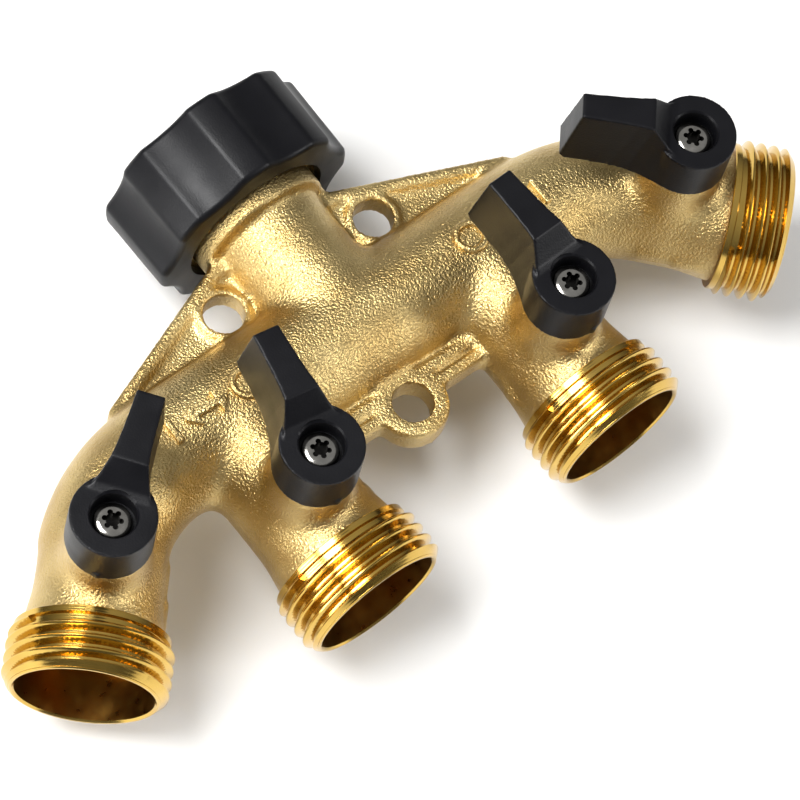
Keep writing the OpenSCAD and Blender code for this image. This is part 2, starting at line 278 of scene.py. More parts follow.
def soften(piece, voxel, passes):
    """Remeshes a piece evenly and rounds its edges, as a mould or a blasting cabinet does."""
    apply_modifier(piece, "REMESH", mode="VOXEL", voxel_size=voxel, adaptivity=0)
    apply_modifier(piece, "SMOOTH", factor=0.5, iterations=passes)
    pick(piece)
    bpy.ops.object.shade_smooth()


def shade(piece, degrees=35):
    pick(piece)
    bpy.ops.object.shade_smooth_by_angle(angle=math.radians(degrees))


def finish_piece(piece, body, slot, *materials):
    piece.data.materials.clear()
    for material in materials:
        piece.data.materials.append(material)
    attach(piece, body)
    return piece


# ---------------------------------------------------------------- materials
def colour(code):
    """Linear colour with alpha from an sRGB hex value such as D9B36A."""
    parts = [int(code[k:k + 2], 16) / 255 for k in (0, 2, 4)]
    linear = [c / 12.92 if c <= 0.04045 else ((c + 0.055) / 1.055) ** 2.4 for c in parts]
    return (*linear, 1.0)


def add_node(tree, kind, settings=None, **inputs):
    """Adds a node with its settings. An input is a value, or a socket to link from."""
    node = tree.nodes.new(kind)
    for key, value in (settings or {}).items():
        setattr(node, key, value)
    for key, value in inputs.items():
        socket = node.inputs[key.replace("_", " ")]
        if isinstance(value, bpy.types.NodeSocket):
            tree.links.new(value, socket)
        else:
            socket.default_value = value
    return node


def start_material(name, **shader_values):
    """A material with its shader, and the object coordinates that its patterns follow."""
    material = bpy.data.materials.new(name)
    material.use_nodes = True
    tree = material.node_tree
    shader = tree.nodes["Principled BSDF"]
    for key, value in shader_values.items():
        shader.inputs[key.replace("_", " ")].default_value = value
    return material, tree, shader, add_node(tree, "ShaderNodeTexCoord").outputs["Object"]


def blend_colours(tree, share, first, second):
    """A colour between two, by a share from 0 to 1."""
    ramp = add_node(tree, "ShaderNodeValToRGB", Fac=share)
    ramp.color_ramp.elements[0].color = colour(first)
    ramp.color_ramp.elements[1].color = colour(second)
    return ramp


def grain(tree, where, size, detail=2.0, roughness=0.5):
    """Noise whose lumps are about as wide as size, in metres."""
    return add_node(tree, "ShaderNodeTexNoise", Vector=where, Scale=1 / size, Detail=detail,
                    Roughness=roughness).outputs["Fac"]


def ranged(tree, value, low, high):
    """A value from 0.3 to 0.7 stretched to run from low to high."""
    return add_node(tree, "ShaderNodeMapRange", Value=value, From_Min=0.3, From_Max=0.7,
                    To_Min=low, To_Max=high).outputs["Result"]


def blasted_brass():
    """Sand-cast brass after shot blasting: pale gold and satin, pitted by the shot, uneven in tone."""
    material, tree, shader, where = start_material("sand_cast_blasted_brass", Metallic=1.0)
    shot = grain(tree, where, 0.42 * MM, 2.0, 0.55)
    skin = grain(tree, where, 2.6 * MM, 3.0)
    tone = grain(tree, where, 9 * MM, 2.0)
    ramp = blend_colours(tree, tone, "BDA168", "D2B97F")
    ramp.color_ramp.elements[0].position, ramp.color_ramp.elements[1].position = 0.35, 0.68
    tree.links.new(ramp.outputs["Color"], shader.inputs["Base Color"])
    tree.links.new(ranged(tree, skin, 0.28, 0.36), shader.inputs["Roughness"])
    fine = add_node(tree, "ShaderNodeBump", Height=shot, Distance=0.24 * MM, Strength=1.0)
    broad = add_node(tree, "ShaderNodeBump", Height=skin, Distance=0.2 * MM, Strength=0.3,
                     Normal=fine.outputs["Normal"])
    tree.links.new(broad.outputs["Normal"], shader.inputs["Normal"])
    return material


# Scale of the wave texture that draws the tool's rings.
TOOL_RING_SCALE = 1 / (0.22 * MM) / 6.28
TURNED_ROUGHNESS = 0.17


def turned_brass(name, axis):
    """Brass fresh from the lathe: bright gold, with fine tool rings round the axis and a faint stain."""
    material, tree, shader, where = start_material(name, Metallic=1.0)
    turn = Vector(axis).to_track_quat("X", "Z").to_matrix().inverted().to_euler()
    along = add_node(tree, "ShaderNodeMapping", Vector=where, Rotation=turn)
    rings = add_node(tree, "ShaderNodeTexWave", {"bands_direction": "X"}, Vector=along.outputs["Vector"],
                     Scale=TOOL_RING_SCALE, Distortion=0.4, Detail=1.0)
    stain = grain(tree, where, 5 * MM, 2.0)
    ramp = blend_colours(tree, stain, "C09A48", "D6B462")
    tree.links.new(ramp.outputs["Color"], shader.inputs["Base Color"])
    tree.links.new(ranged(tree, stain, TURNED_ROUGHNESS - 0.02, TURNED_ROUGHNESS + 0.03),
                   shader.inputs["Roughness"])
    bump = add_node(tree, "ShaderNodeBump", Height=rings.outputs["Fac"], Distance=0.01 * MM, Strength=0.5)
    tree.links.new(bump.outputs["Normal"], shader.inputs["Normal"])
    return material


def bore_brass():
    """Brass inside a bore, left unpolished: a brown film of oil and oxide over fine boring marks."""
    material, tree, shader, where = start_material("bored_oxidised_brass", Metallic=1.0)
    film = grain(tree, where, 2.2 * MM, 3.0)
    ramp = blend_colours(tree, film, "8A6228", "A47A38")
    tree.links.new(ramp.outputs["Color"], shader.inputs["Base Color"])
    tree.links.new(ranged(tree, film, 0.26, 0.4), shader.inputs["Roughness"])
    bump = add_node(tree, "ShaderNodeBump", Height=grain(tree, where, 0.4 * MM), Distance=0.03 * MM,
                    Strength=0.5)
    tree.links.new(bump.outputs["Normal"], shader.inputs["Normal"])
    return material


def moulded_nylon():
    """Glass-filled nylon from a spark-eroded mould: near black, satin, with a fine even grain."""
    material, tree, shader, where = start_material("moulded_black_nylon", IOR=1.46, Specular_IOR_Level=0.24)
    mould = grain(tree, where, 0.3 * MM, 1.5)
    tone = grain(tree, where, 6 * MM, 3.0)
    ramp = blend_colours(tree, tone, "08080B", "0D0D11")
    tree.links.new(ramp.outputs["Color"], shader.inputs["Base Color"])
    tree.links.new(ranged(tree, tone, 0.34, 0.44), shader.inputs["Roughness"])
    bump = add_node(tree, "ShaderNodeBump", Height=mould, Distance=0.05 * MM, Strength=0.5)
    tree.links.new(bump.outputs["Normal"], shader.inputs["Normal"])
    return material


def plated_steel(name, dark, light, rough):
    """Plated or treated metal: smooth, between two shades, with faint handling smears."""
    material, tree, shader, where = start_material(name, Metallic=1.0)
    smear = grain(tree, where, 1.5 * MM, 3.0)
    ramp = blend_colours(tree, smear, dark, light)
    tree.links.new(ramp.outputs["Color"], shader.inputs["Base Color"])
    tree.links.new(ranged(tree, smear, rough * 0.7, rough * 1.4), shader.inputs["Roughness"])
    bump = add_node(tree, "ShaderNodeBump", Height=smear, Distance=0.02 * MM, Strength=0.3)
    tree.links.new(bump.outputs["Normal"], shader.inputs["Normal"])
    return material


def soft_polymer(name, dark, light, rough, lump, ior):
    """Turned PTFE or moulded rubber: one even colour with a faint mottle and a dull surface."""
    material, tree, shader, where = start_material(name, IOR=ior)
    mottle = grain(tree, where, lump, 3.0)
    ramp = blend_colours(tree, mottle, dark, light)
    tree.links.new(ramp.outputs["Color"], shader.inputs["Base Color"])
    tree.links.new(ranged(tree, mottle, rough - 0.05, rough + 0.08), shader.inputs["Roughness"])
    bump = add_node(tree, "ShaderNodeBump", Height=mottle, Distance=0.03 * MM, Strength=0.4)
    tree.links.new(bump.outputs["Normal"], shader.inputs["Normal"])
    return material


CAST = blasted_brass()
BORE = bore_brass()
NYLON = moulded_nylon()
# Near black steel for the faces inside each screw's socket: painted shade in the socket's recess.
SOCKET_PAINTED_SHADE = plated_steel("socket_painted_shade_steel", "141312", "2A2927", 0.3)
SCREW_STEEL = plated_steel("nickel_plated_steel", "7A7873", "B5B2AC", 0.13)
CLIP_STEEL = plated_steel("phosphated_spring_steel", "5A5C60", "7C7F84", 0.34)
CHROME = plated_steel("chrome_plated_brass_ball", "C9CCD0", "E4E6E9", 0.06)
PTFE = soft_polymer("turned_ptfe", "E6E4DA", "F4F3EC", 0.38, 1.2 * MM, 1.35)
RUBBER = soft_polymer("moulded_nitrile_rubber", "121212", "1C1C1D", 0.72, 0.8 * MM, 1.52)
STEM_BRASS = turned_brass("turned_brass_stem", Z_AXIS)
INLET_BRASS = turned_brass("turned_brass_inlet", Y_AXIS)


# ---------------------------------------------------------------- places taken from the frame
def way_out(i):
    return Vector(mounts[f"outlet_{i}"]["axis"]).normalized()


def from_mouth(i, back):
    """The point on an outlet's axis a distance back from its mouth."""
    return Vector(mounts[f"outlet_{i}"]["pos_m"]) + way_out(i) * (THREAD_MIDDLE - back)


def stem_foot(i):
    return Vector(joints[f"valve_{i}_turn"]["pos_m"])


def is_outer(i):
    return abs(way_out(i).x) > 0.1


def side(i):
    return -1 if from_mouth(i, 0).x < 0 else 1


splay = math.acos(-way_out(4).y)
crossing_back = (from_mouth(4, 0).y + HEADER_BACK) / way_out(4).y
bend_x = from_mouth(4, crossing_back).x
bend_tangent = BEND_R * math.tan(splay / 2)
bend_start = bend_x - bend_tangent
bend_end = crossing_back - bend_tangent


def header_rod(radius):
    return rod((-bend_start, -HEADER_BACK, 0), (bend_start, -HEADER_BACK, 0), radius)


def elbow(s, radius):
    start = Vector((s * bend_start, -HEADER_BACK, 0))
    return bent_rod(start, (s * bend_start, -HEADER_BACK - BEND_R, 0), s * splay, radius)


def leg_start(i):
    return from_mouth(i, bend_end) if is_outer(i) else Vector((from_mouth(i, 0).x, -HEADER_BACK, 0))


def neck_point(back):
    return Vector((0, -back, 0))


# ---------------------------------------------------------------- casting
# Smoothing draws round walls in a little, so the rough tubes start this much too large.
SHRINK = 0.3 * MM
# Tubes whose ends are cut off later start this much too long.
CUT_PAST = 4 * MM
MELT_VOXEL = 0.8 * MM
MELT_PASSES = 36


def rough_tubes():
    """Header, bends, legs, neck and stem bosses, melted into each other with wide fillets."""
    parts = [header_rod(HEADER_R + SHRINK)]
    parts += [elbow(s, (HEADER_R + LEG_R) / 2 + SHRINK) for s in (-1, 1)]
    parts.append(rod(neck_point(HEADER_BACK), neck_point(BEAD_FRONT - CUT_PAST), NECK_R + SHRINK))
    for i in OUTLETS:
        parts.append(rod(leg_start(i), from_mouth(i, THREAD_LEN - CUT_PAST), LEG_R + SHRINK))
        collar = turned([(0, -CUT_PAST), (COLLAR_R + SHRINK, -CUT_PAST), (COLLAR_R + SHRINK, 0),
                         (LEG_R, COLLAR_LEN), (0, COLLAR_LEN)])
        parts.append(place(collar, from_mouth(i, THREAD_LEN), -way_out(i)))
        boss = turned([(0, BOSS_LOW), (BOSS_FOOT_R, BOSS_LOW), (BOSS_R, BOSS_WAIST), (BOSS_R, BOSS_TOP),
                       (0, BOSS_TOP)])
        parts.append(place(boss, stem_foot(i), Z_AXIS))
    casting = join(parts)
    soften(casting, MELT_VOXEL, MELT_PASSES)
    return casting


WEB_T = 2.4 * MM
WEB_ROOT_X, WEB_ROOT_BACK = 12.8 * MM, 19.8 * MM
WEB_TIP_X, WEB_TIP_BACK = 42.5 * MM, 31.4 * MM
WEB_IN_NECK = 6 * MM
RIB_T = 5.0 * MM
RIB_W = 2.4 * MM
RIM_W = 1.1 * MM


def web(s):
    """Web behind one arm of the header, with a raised rib along its edge and round its screw hole."""
    inner, root, tip = s * WEB_IN_NECK, (s * WEB_ROOT_X, -WEB_ROOT_BACK), (s * WEB_TIP_X, -WEB_TIP_BACK)
    hole = (s * REAR_HOLE[0], REAR_HOLE[1])
    sheet = plate([(inner, root[1]), root, tip, (tip[0], -HEADER_BACK), (inner, -HEADER_BACK)],
                  -WEB_T / 2, WEB_T / 2)
    rib = plate([(inner, root[1]), root, tip, (tip[0], tip[1] - RIB_W),
                 (root[0], root[1] - RIB_W), (inner, root[1] - RIB_W)], -RIB_T / 2, RIB_T / 2)
    rim = rod((*hole, -RIB_T / 2), (*hole, RIB_T / 2), HOLE_R + RIM_W)
    return [sheet, rib, rim]


EAR_BACK = 58.6 * MM
EAR_R = 6.3 * MM
EAR_RISE = 1.7 * MM
EAR_RING_RISE = 2.7 * MM
RIDGE_BACKS = (54.2 * MM, 57.2 * MM)
RIDGE_W = 1.9 * MM
RIDGE_RISE = 2.6 * MM


def ear():
    """Ear in front of the header: two ridges between the inner legs and a thick ring round the hole."""
    reach = from_mouth(3, 0).x
    sheet = slab((-reach, -HEADER_BACK), (reach, -EAR_BACK), -EAR_RISE, EAR_RISE)
    ridges = [slab((-reach, -back), (reach, -back - RIDGE_W), -RIDGE_RISE, RIDGE_RISE)
              for back in RIDGE_BACKS]
    ring = rod((*FRONT_HOLE, -EAR_RING_RISE), (*FRONT_HOLE, EAR_RING_RISE), EAR_R)
    return [sheet, ring] + ridges


MARK_R = 2.5 * MM
MARK_RISE = 1.2 * MM
MARK_SUNK = 2 * MM
MARK_EDGE = 0.25 * MM
HALF_STROKE = 0.6 * MM
RING_RISE = 0.3 * MM
BAR_DROP = 0.25 * MM
RING_X, ARROW_X, BAR_X = 23.5 * MM, 31.8 * MM, 38.6 * MM


def marks(s):
    """Raised marks along an arm: a ring for open, a two-headed arrow and a bar for shut."""
    low, top = HEADER_R - MARK_SUNK, HEADER_R + MARK_RISE
    arrow_x, bar_x = s * ARROW_X, s * BAR_X
    deselect_all()
    bpy.ops.mesh.primitive_torus_add(major_radius=MARK_R, minor_radius=HALF_STROKE, major_segments=48,
                                     minor_segments=12,
                                     location=(s * RING_X, -HEADER_BACK, HEADER_R + RING_RISE))
    ring = bpy.context.active_object
    settle(ring)
    bar = slab((bar_x - HALF_STROKE, -HEADER_BACK - MARK_R), (bar_x + HALF_STROKE, -HEADER_BACK + MARK_R),
               low, top - BAR_DROP)
    shaft, head, wide = 2.0 * MM, 4.3 * MM, 2.2 * MM
    outline = [(-head, 0), (-shaft, -wide), (-shaft, -HALF_STROKE), (shaft, -HALF_STROKE), (shaft, -wide),
               (head, 0), (shaft, wide), (shaft, HALF_STROKE), (-shaft, HALF_STROKE), (-shaft, wide)]
    arrow = plate([(arrow_x + x, -HEADER_BACK + y) for x, y in outline], low, top)
    for mark in (bar, arrow):
        apply_modifier(mark, "BEVEL", width=MARK_EDGE, segments=3, limit_method="ANGLE")
    return [ring, bar, arrow]


# For each pad of flash: its near and far end, back from the mouth, and its rise over the leg.
FLASH_PADS = ((12 * MM, 17.5 * MM, 1.1 * MM), (17.5 * MM, 24 * MM, 0.6 * MM))
FLASH_HALF = 1.3 * MM


def flash(i):
    """Fettled flash: low stepped pads along the parting line, on a leg's side towards the middle."""
    inward = Z_AXIS.cross(way_out(i)) * -side(i)
    parts = []
    for near, far, rise in FLASH_PADS:
        corners = [from_mouth(i, back) + inward * reach
                   for back, reach in ((near, 0), (near, LEG_R + rise), (far, LEG_R + rise), (far, 0))]
        parts.append(plate([(corner.x, corner.y) for corner in corners], -FLASH_HALF, FLASH_HALF))
    return parts


TURNED_END_R = 16 * MM
OVER_THE_TOP = 30 * MM


def waterway():
    """All that is cut out of the casting: pipes, valve chambers, stem holes and the turned ends' seats."""
    cutter = header_rod(HEADER_BORE_R)
    for s in (-1, 1):
        combine(cutter, elbow(s, ELBOW_BORE_R), "UNION")
    combine(cutter, rod(neck_point(HEADER_BACK), neck_point(-MM), NECK_BORE_R), "UNION")
    combine(cutter, rod(neck_point(BEAD_FRONT), neck_point(-MM), TURNED_END_R), "UNION")
    for i in OUTLETS:
        foot = stem_foot(i)
        combine(cutter, rod(leg_start(i), from_mouth(i, 0), LEG_BORE_R), "UNION")
        combine(cutter, rod(from_mouth(i, CHAMBER_BACK), from_mouth(i, 0), CHAMBER_R), "UNION")
        combine(cutter, rod(from_mouth(i, THREAD_LEN), from_mouth(i, -MM), TURNED_END_R), "UNION")
        combine(cutter, rod(foot, foot + Z_AXIS * OVER_THE_TOP, STEM_HOLE_R), "UNION")
        combine(cutter, rod(foot, foot + Z_AXIS * POCKET_TOP, POCKET_R), "UNION")
    return cutter


SKIN_VOXEL = 0.52 * MM
SKIN_PASSES = 3
HOLE_CUT = 6 * MM


def make_casting():
    casting = rough_tubes()
    parts = [casting] + ear()
    for s in (-1, 1):
        parts += web(s)
    for i in OUTLETS:
        parts += flash(i)
    parts.append(rod(neck_point(BEAD_BACK), neck_point(BEAD_FRONT - CUT_PAST), BEAD_R))
    casting = join(parts)
    apply_modifier(casting, "REMESH", mode="VOXEL", voxel_size=SKIN_VOXEL, adaptivity=0)
    for x, y in (FRONT_HOLE, REAR_HOLE, (-REAR_HOLE[0], REAR_HOLE[1])):
        combine(casting, rod((x, y, -HOLE_CUT), (x, y, HOLE_CUT), HOLE_R), "DIFFERENCE")
    apply_modifier(casting, "REMESH", mode="VOXEL", voxel_size=SKIN_VOXEL, adaptivity=0)
    apply_modifier(casting, "SMOOTH", factor=0.5, iterations=SKIN_PASSES)
    for mark in marks(-1) + marks(1):
        combine(casting, mark, "UNION")
    combine(casting, waterway(), "DIFFERENCE")
    shade(casting, 40)
    named(casting, "cast_manifold")
    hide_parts("manifold_casting")
    return finish_piece(casting, "root", "cast_brass", CAST)


make_casting()


# ---------------------------------------------------------------- threaded ends
PITCH = 2.209 * MM
ROOT_R = 12.1 * MM
CREST_R = 13.5 * MM
BASE_R = 12.7 * MM
MOUTH_R = 11.25 * MM
MOUTH_DEPTH = 8.9 * MM
BASE_LEN = 1.1 * MM
RIDGE_FOOT = 0.98 * MM


def thread_section(core_r, tip_r, low):
    """Section of one thread ridge, from its core radius to its rounded tip, centred on a height."""
    inward = 1 if tip_r > core_r else -1
    sunk, edge = core_r - inward * 0.4 * MM, tip_r - inward * 0.12 * MM
    half = [(sunk, RIDGE_FOOT), (core_r, 0.92 * MM), (edge, 0.24 * MM), (tip_r, 0.1 * MM)]
    return [(r, low - z) for r, z in half] + [(r, low + z) for r, z in reversed(half)]


def make_outlet(i):
    """Turned end of an outlet: a helical thread from the rim, a plain land at its foot, a stepped bore."""
    land = THREAD_LEN - BASE_LEN
    outer = [(MOUTH_R + 0.3 * MM, 0), (ROOT_R - 0.25 * MM, 0), (ROOT_R, 0.2 * MM),
             (ROOT_R, land - 0.25 * MM), (BASE_R, land), (BASE_R, THREAD_LEN - 0.15 * MM),
             (BASE_R - 0.15 * MM, THREAD_LEN)]
    inner = [(CHAMBER_R, THREAD_LEN), (CHAMBER_R, MOUTH_DEPTH), (MOUTH_R - 0.2 * MM, MOUTH_DEPTH),
             (MOUTH_R, MOUTH_DEPTH - 0.2 * MM), (MOUTH_R, 0.3 * MM)]
    end = turned(outer + inner + outer[:1], 128)
    first, turns = -0.9 * MM, 4.6
    ridge = helix(thread_section(ROOT_R, CREST_R, first), PITCH, turns, 96)
    # The thread's start is chamfered at the rim, and only its far end fades out.
    rim, over = 0.25 * MM, CREST_R + 0.1 * MM
    envelope = turned([(0, rim), (ROOT_R + 0.1 * MM, rim), (CREST_R - 0.2 * MM, 1.3 * MM),
                       (over, 2.4 * MM), (over, THREAD_LEN), (0, THREAD_LEN)], 128)
    fade_ends(ridge, -5 * MM, first + RIDGE_FOOT + PITCH * turns, 1.5 * MM, ROOT_R - 0.3 * MM)
    combine(ridge, envelope, "INTERSECT")
    combine(end, ridge, "UNION")
    place(end, from_mouth(i, 0), -way_out(i), Z_AXIS.cross(way_out(i)))
    shade(end, 32)
    named(end, f"outlet_end_{i}")
    finish_piece(end, "root", "turned_brass", turned_brass(f"turned_brass_outlet_{i}", way_out(i)), BORE)
    for face in end.data.polygons:
        reach = face.center - from_mouth(i, 0)
        across = reach - way_out(i) * reach.dot(way_out(i))
        face.material_index = 1 if across.length < MOUTH_R + 0.05 * MM else 0
    return end


for outlet in OUTLETS:
    make_outlet(outlet)


def make_tail():
    """Turned end of the neck inside the nut, with the groove for the clip."""
    tail_r, front, foot = 9.6 * MM, 9.4 * MM, BEAD_FRONT + 0.5 * MM
    groove_back, groove_r, groove_w = 12 * MM, tail_r - 1 * MM, 1.2 * MM
    outline = [(NECK_BORE_R, -foot), (tail_r, -foot), (tail_r, -groove_back), (groove_r, -groove_back),
               (groove_r, -groove_back + groove_w), (tail_r, -groove_back + groove_w),
               (tail_r, -front - 0.3 * MM), (tail_r - 0.3 * MM, -front), (NECK_BORE_R, -front),
               (NECK_BORE_R, -foot)]
    tail = place(turned(outline), (0, 0, 0), Y_AXIS)
    shade(tail)
    named(tail, "neck_tail")
    return finish_piece(tail, "root", "turned_brass", INLET_BRASS)


def make_insert():
    """Threaded ring inside the nut, with a real helical thread and the floor that the clip holds."""
    crest, root, outer = 12.1 * MM, 13.45 * MM, 16.38 * MM
    floor_front, floor_back, hole = 12.4 * MM, 14.58 * MM, 9.7 * MM
    outline = [(root, 0), (outer, 0), (outer, -floor_back), (hole, -floor_back), (hole, -floor_front),
               (root, -floor_front), (root, 0)]
    ring = turned(outline, 128)
    first, turns = -6.1 * MM, 2.3
    ridge = helix(thread_section(root, crest, first), PITCH, turns, 96)
    combine(ring, ridge, "UNION")
    place(ring, (0, 0, 0), Y_AXIS)
    shade(ring, 32)
    named(ring, "threaded_insert")
    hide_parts("swivel_insert")
    return finish_piece(ring, "inlet_nut", "turned_brass", INLET_BRASS)


make_tail()
make_insert()


# ---------------------------------------------------------------- plastic pieces
LOBES = 8
LOBE_TURN = math.radians(7)
LOBE_DIP = 1.5 * MM
HOLLOW_R = 14 * MM
NUT_LEN = 16.5 * MM
NUT_R = 19.7 * MM
NUT_DRAFT = 0.3 * MM
NUT_EDGE = 1.1 * MM
INSERT_SEAT_R = 16.42 * MM
INSERT_SEAT_BACK = 14.6 * MM
NECK_CLEAR_R = 13.7 * MM


def lobed_radius(angle, radius):
    """Outline of the nut: lobes with shallow round hollows between them, and a soft edge at each."""
    step = 2 * math.pi / LOBES
    off = (angle - LOBE_TURN) % step - step / 2
    centre = radius + HOLLOW_R - LOBE_DIP
    hollow = centre * math.cos(off) - math.sqrt(HOLLOW_R ** 2 - (centre * math.sin(off)) ** 2)
    blur = 0.35 * MM
    mix = max(0.0, min(1.0, 0.5 + 0.5 * (radius - hollow) / blur))
    return radius + (hollow - radius) * mix - blur * mix * (1 - mix)


def make_grip():
    """Over-moulded grip of the nut, drafted towards the neck, with rounded rims."""
    deselect_all()
    bpy.ops.mesh.primitive_circle_add(vertices=288, radius=NUT_R, fill_type="NGON")
    grip = bpy.context.active_object
    edit(grip)
    bpy.ops.mesh.extrude_region_move(TRANSFORM_OT_translate={"value": (0, 0, -NUT_LEN)})
    close_edit()
    for vertex in grip.data.vertices:
        x, y, z = vertex.co
        angle = math.atan2(-y, x)
        reach = lobed_radius(angle, NUT_R - NUT_DRAFT * abs(z) / NUT_LEN) / NUT_R
        vertex.co.x, vertex.co.y = x * reach, y * reach
    tidy_shell(grip)
    apply_modifier(grip, "BEVEL", width=NUT_EDGE, segments=5, limit_method="ANGLE",
                   angle_limit=math.radians(60))
    combine(grip, rod((0, 0, MM), (0, 0, -INSERT_SEAT_BACK), INSERT_SEAT_R, 128), "DIFFERENCE")
    combine(grip, rod((0, 0, -12 * MM), (0, 0, -20 * MM), NECK_CLEAR_R, 128), "DIFFERENCE")
    place(grip, (0, 0, 0), Y_AXIS)
    shade(grip, 40)
    named(grip, "nut_grip")
    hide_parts("swivel_grip")
    return finish_piece(grip, "inlet_nut", "black_plastic", NYLON)


# The grip of a lever as sections along it: how far out its lower and upper corners are, their half
# widths and their heights, all in millimetres.
GRIP_SECTIONS = ((0, 0, 6.9, 6.9, 17.1, 26.2), (3.1, 3.1, 6.3, 5.25, 17.0, 26.2),
                 (4.4, 4.4, 5.75, 4.6, 17.0, 26.75), (5.8, 5.8, 5.1, 3.85, 17.0, 28.2),
                 (7.7, 7.7, 4.35, 3.05, 17.0, 30.3), (10, 10, 3.65, 2.75, 17.0, 30.3),
                 (12.8, 12.8, 3.2, 2.55, 17.0, 30.3), (16, 16, 3.0, 2.4, 17.0, 30.3),
                 (20.6, 19.6, 2.85, 2.3, 17.0, 30.3), (21.4, 19.8, 2.8, 2.2, 18.0, 30.0))
HUB_LOW, HUB_TOP = 17.2 * MM, 26.2 * MM
HUB_FOOT_R, HUB_TOP_R = 7.1 * MM, 6.95 * MM
STOP_BACK, STOP_R = 6.4 * MM, 1.0 * MM
HEAD_SEAT, HEAD_SEAT_R, HEAD_SEAT_RIM_R = 22.6 * MM, 3.75 * MM, 4.1 * MM
SCREW_HOLE_R = 1.7 * MM
SQUARE_HALF, SQUARE_TOP = 2.12 * MM, 21.72 * MM
UNDER_LEVER, OVER_LEVER = 15 * MM, 40 * MM
LEVER_VOXEL = 0.2 * MM
LEVER_PASSES = 6


def make_lever(i):
    """Moulded lever: a hub with a seat for the screw's head and a square hole for the stem, a stop
    nib, and a tall grip that sweeps in from the hub's full width."""
    deselect_all()
    bpy.ops.mesh.primitive_plane_add(size=MM)
    blade = bpy.context.active_object
    edit(blade)
    for _ in GRIP_SECTIONS[1:]:
        bpy.ops.mesh.extrude_region_move(TRANSFORM_OT_translate={"value": (0, 0, MM)})
    close_edit()
    corners = sorted(blade.data.vertices, key=lambda vertex: round(vertex.co.z / MM))
    for ring, section in enumerate(GRIP_SECTIONS):
        low_y, high_y, low_w, high_w, low_z, high_z = [value * MM for value in section]
        for vertex in corners[4 * ring:4 * ring + 4]:
            right, upper = math.copysign(1, vertex.co.x), vertex.co.y > 0
            width, out, height = (high_w, high_y, high_z) if upper else (low_w, low_y, low_z)
            vertex.co = (right * width, out, height)
    tidy_shell(blade)
    hub = turned([(0, HUB_LOW), (HUB_FOOT_R, HUB_LOW), (HUB_TOP_R, HUB_TOP), (0, HUB_TOP)], 128)
    stop = rod((0, -STOP_BACK, 17.25 * MM), (0, -STOP_BACK, 18.7 * MM), STOP_R, 24)
    lever = join([hub, blade, stop])
    soften(lever, LEVER_VOXEL, LEVER_PASSES)
    combine(lever, turned([(0, HEAD_SEAT), (HEAD_SEAT_R, HEAD_SEAT), (HEAD_SEAT_R, 25.9 * MM),
                           (HEAD_SEAT_RIM_R, 26.3 * MM), (HEAD_SEAT_RIM_R, OVER_LEVER), (0, OVER_LEVER)],
                          64), "DIFFERENCE")
    combine(lever, rod((0, 0, UNDER_LEVER), (0, 0, 25 * MM), SCREW_HOLE_R, 32), "DIFFERENCE")
    combine(lever, slab((-SQUARE_HALF, -SQUARE_HALF), (SQUARE_HALF, SQUARE_HALF), UNDER_LEVER, SQUARE_TOP),
            "DIFFERENCE")
    lever.matrix_world = Matrix.Translation(stem_foot(i)) @ Matrix.Rotation(lever_heading(i), 4, "Z")
    settle(lever)
    shade(lever, 40)
    named(lever, f"valve_lever_{i}")
    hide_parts(f"lever_{i}")
    return finish_piece(lever, f"valve_{i}", "black_plastic", NYLON)


def lever_heading(i):
    """How far a lever is turned from +Y at rest, as its valve's range says."""
    past = math.radians(joints[f"valve_{i}_turn"]["range_deg"][1] - 90)
    pipe = math.atan2(way_out(i).x, -way_out(i).y)
    return pipe + side(i) * past


make_grip()
for outlet in OUTLETS:
    make_lever(outlet)


# ---------------------------------------------------------------- screws
SOCKET_DEEP = 1.4 * MM
SOCKET_CORE_R = 1.15 * MM
LOBE_OUT = 1.3 * MM
LOBE_R = 0.45 * MM
SOCKET_TURN = 12
SOCKET_REACH = 1.78 * MM


def make_screw(i):
    """Pan-head screw with a six-lobed socket and a chamfered tip."""
    low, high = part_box(f"lever_screw_{i}")
    head_r, head_h, shank_r = 3.1 * MM, 1.8 * MM, 1.48 * MM
    top = high.z
    seat = top - head_h
    outline = [(0, low.z), (shank_r - 0.3 * MM, low.z), (shank_r, low.z + 0.4 * MM), (shank_r, seat),
               (head_r - 0.15 * MM, seat), (head_r, seat + 0.2 * MM), (head_r, top - 0.75 * MM),
               (head_r - 0.2 * MM, top - 0.35 * MM), (head_r - 0.65 * MM, top - 0.08 * MM),
               (head_r - 1.1 * MM, top), (0, top)]
    screw = turned(outline, 64)
    floor, above = top - SOCKET_DEEP, top + MM
    socket = rod((0, 0, floor), (0, 0, above), SOCKET_CORE_R, 48)
    for k in range(6):
        angle = math.radians(60 * k + SOCKET_TURN)
        x, y = LOBE_OUT * math.cos(angle), LOBE_OUT * math.sin(angle)
        combine(socket, rod((x, y, floor), (x, y, above), LOBE_R, 24), "UNION")
    combine(screw, socket, "DIFFERENCE")
    place(screw, stem_foot(i), Z_AXIS)
    shade(screw, 30)
    named(screw, f"lobed_screw_{i}")
    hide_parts(f"lever_screw_{i}")
    finish_piece(screw, f"valve_{i}", "steel", SCREW_STEEL, SOCKET_PAINTED_SHADE)
    # Faces inside the socket take the near black steel, which is painted shade for the recess.
    for face in screw.data.polygons:
        across = (face.center - stem_foot(i)).xy.length
        in_socket = across < SOCKET_REACH and top - 2 * MM < face.center.z < top - 0.02 * MM
        face.material_index = 1 if in_socket else 0
    return screw


for outlet in OUTLETS:
    make_screw(outlet)

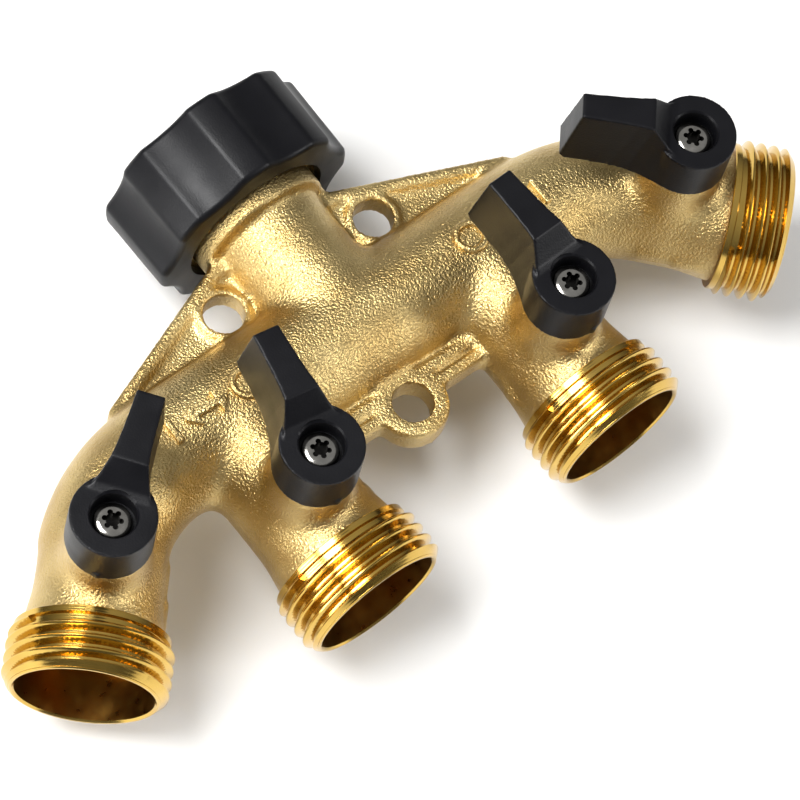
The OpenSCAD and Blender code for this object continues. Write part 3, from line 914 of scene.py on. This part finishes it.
# ---------------------------------------------------------------- inner pieces keep their CAD shape
FINISHES = {"swivel_clip": CLIP_STEEL, "inlet_washer": RUBBER, "upstream_seat": PTFE,
            "downstream_seat": PTFE, "seat_retainer": STEM_BRASS, "ball": CHROME, "stem": STEM_BRASS,
            "stem_thrust_washer": PTFE, "stem_o_rings": RUBBER}
for node_name, node in frame["nodes"].items():
    family = node_name.rstrip("1234").rstrip("_")
    if family in FINISHES:
        node.data.materials.clear()
        node.data.materials.append(FINISHES[family])


# ---------------------------------------------------------------- floor, lights and camera
def make_floor():
    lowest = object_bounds()[0].z
    deselect_all()
    bpy.ops.mesh.primitive_plane_add(size=6, location=(0, 0, lowest))
    floor = bpy.context.active_object
    floor.name = "floor"
    floor.data.materials.append(start_material("pale_studio_floor", Roughness=0.8,
                                               Base_Color=colour("F1F1F0"))[0])


LIGHTS_AIM = Vector((0, -0.05, 0))


def softbox(name, spot, size, watts):
    light = bpy.data.lights.new(name, "AREA")
    light.shape = "RECTANGLE"
    light.size, light.size_y = size
    light.energy = watts
    lamp = bpy.data.objects.new(name, light)
    bpy.context.scene.collection.objects.link(lamp)
    lamp.location = spot
    lamp.rotation_euler = (LIGHTS_AIM - Vector(spot)).to_track_quat("-Z", "Y").to_euler()


# The room is dark at the horizon and bright overhead, which gives metal its light and dark bands.
HORIZON_GLOW = 0.05
ZENITH_GLOW = 0.52


def make_lights():
    world = bpy.data.worlds.new("studio")
    world.use_nodes = True
    tree = world.node_tree
    towards = add_node(tree, "ShaderNodeTexCoord").outputs["Generated"]
    height = add_node(tree, "ShaderNodeSeparateXYZ", Vector=towards).outputs["Z"]
    glow = add_node(tree, "ShaderNodeMapRange", Value=height, To_Min=HORIZON_GLOW, To_Max=ZENITH_GLOW)
    backdrop = tree.nodes["Background"]
    backdrop.inputs["Color"].default_value = colour("FFFFFF")
    tree.links.new(glow.outputs["Result"], backdrop.inputs["Strength"])
    bpy.context.scene.world = world
    bpy.context.scene.view_settings.view_transform = "Standard"
    softbox("top_softbox", (-0.3, 0.15, 0.65), (0.4, 0.3), 7)
    softbox("left_strip", (-0.7, 0.05, 0.25), (0.12, 0.6), 3)
    softbox("right_strip", (0.45, -0.6, 0.4), (0.15, 0.5), 3)


CAMERA_TARGET = Vector((-0.54, -56.45, 0)) * MM
CAMERA_DISTANCE = 629.15 * MM
CAMERA_HEADING = math.radians(56.27)
CAMERA_ELEVATION = math.radians(63.94)
CAMERA_ROLL = math.radians(19.67)
CAMERA_LENS = 171.1


def make_camera():
    camera = bpy.data.objects.new("camera", bpy.data.cameras.new("camera"))
    bpy.context.scene.collection.objects.link(camera)
    camera.data.lens = CAMERA_LENS
    camera.data.sensor_width = 36
    back = Vector((-math.sin(CAMERA_HEADING) * math.cos(CAMERA_ELEVATION),
                   -math.cos(CAMERA_HEADING) * math.cos(CAMERA_ELEVATION), math.sin(CAMERA_ELEVATION)))
    camera.location = CAMERA_TARGET + back * CAMERA_DISTANCE
    level = (-back).to_track_quat("-Z", "Y").to_matrix()
    camera.rotation_euler = (level @ Matrix.Rotation(CAMERA_ROLL, 3, "Z")).to_euler()
    bpy.context.scene.camera = camera


make_floor()
make_lights()
make_camera()
